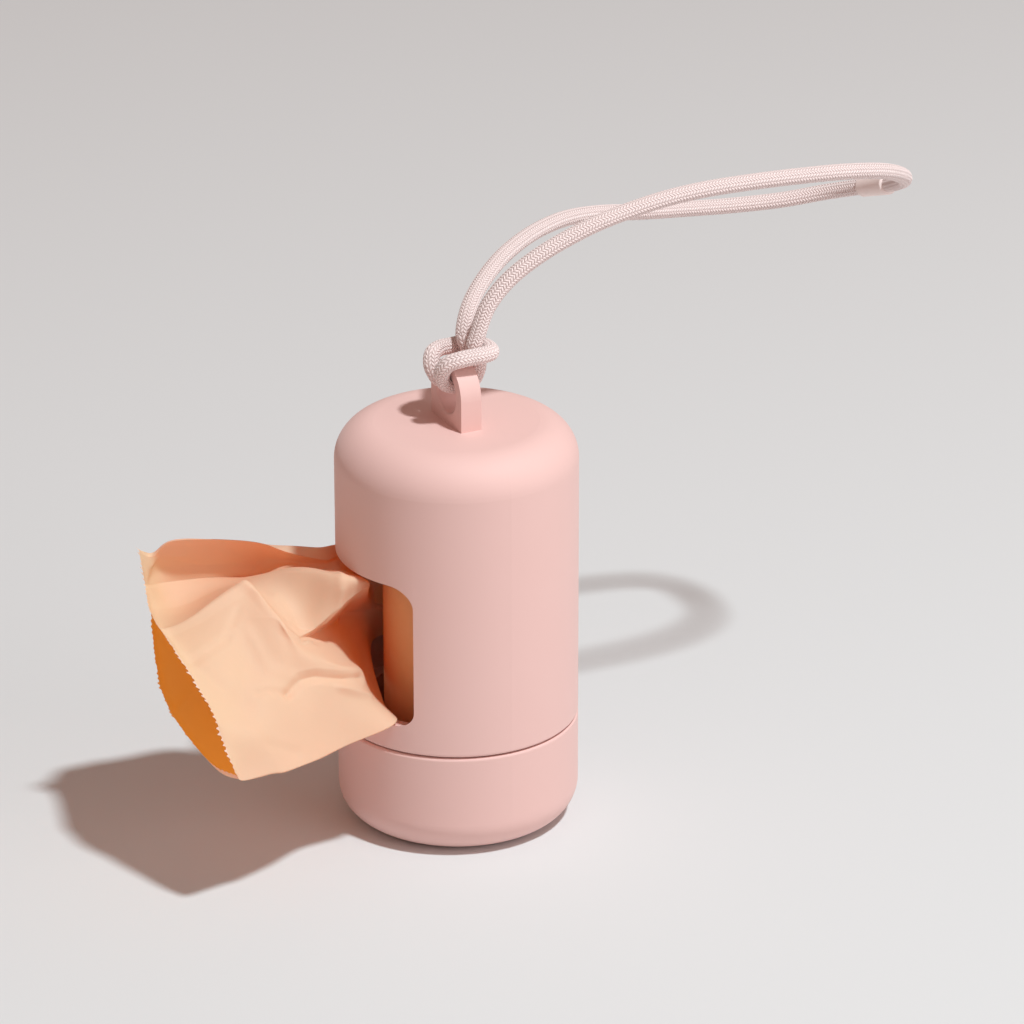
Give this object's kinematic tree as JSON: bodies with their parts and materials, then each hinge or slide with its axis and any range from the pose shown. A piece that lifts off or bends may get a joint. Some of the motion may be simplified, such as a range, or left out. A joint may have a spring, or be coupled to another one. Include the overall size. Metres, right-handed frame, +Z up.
{
  "type": "dog poop bag dispenser",
  "caption": "Capsule-shaped bag dispenser with a side window, a screw-on base cap, a roll of bags inside, a drawn bag and a cord lanyard hitched to a lug on top.",
  "frame": {"origin": "middle of the base cap's flat underside, on the casing's axis", "axes": "+Z up along the casing's axis, the window and the drawn bag face -Y, the axis of the lug's hole lies along Y"},
  "size_m": [0.0577, 0.1563, 0.1162],
  "materials": {
    "soft_touch_shell": "soft matt moulding",
    "soft_touch_cap": "soft matt moulding",
    "seal_rubber": "matt rubber",
    "core_board": "bare cardboard",
    "wound_film": "matt film",
    "bag_film": "thin matt film",
    "braided_cord": "round braid",
    "joining_sleeve": "smooth satin tube"
  },
  "bodies": {
    "casing": {"casing_shell": "soft_touch_shell"},
    "seal": {"cap_seal_ring": "seal_rubber"},
    "cap": {"base_cap": "soft_touch_cap"},
    "roll": {"roll_core": "core_board", "bag_roll": "wound_film"},
    "bag": {"drawn_bag": "bag_film"},
    "lanyard": {"lanyard_hitch": "braided_cord", "lanyard_loop": "braided_cord", "lanyard_sleeve": "joining_sleeve"}
  },
  "joints": [
    {"name": "cap_drop", "type": "slide", "parent": "casing", "child": "seal", "axis": [0, 0, -1], "range_m": [0, 0.0075]},
    {"name": "cap_turn", "type": "hinge", "parent": "seal", "child": "cap", "pos_m": [0, 0, 0.01], "axis": [0, 0, -1], "range_deg": [0, 900]},
    {"name": "roll_spin", "type": "hinge", "parent": "casing", "child": "roll", "pos_m": [0, 0, 0.0384], "axis": [0, 0, 1], "range_deg": [0, 106.1]},
    {"name": "bag_draw", "type": "slide", "parent": "casing", "child": "bag", "axis": [0, -1, 0], "range_m": [0, 0.025]},
    {"name": "lanyard_swing", "type": "hinge", "parent": "casing", "child": "lanyard", "pos_m": [0, 0, 0.0823], "axis": [0, 1, 0], "range_deg": [-30, 30]}
  ],
  "couplings": [
    {"joint": "cap_drop", "follows": "cap_turn", "m_per_rad": 0.00047746},
    {"joint": "bag_draw", "follows": "roll_spin", "m_per_rad": 0.0135}
  ]
}
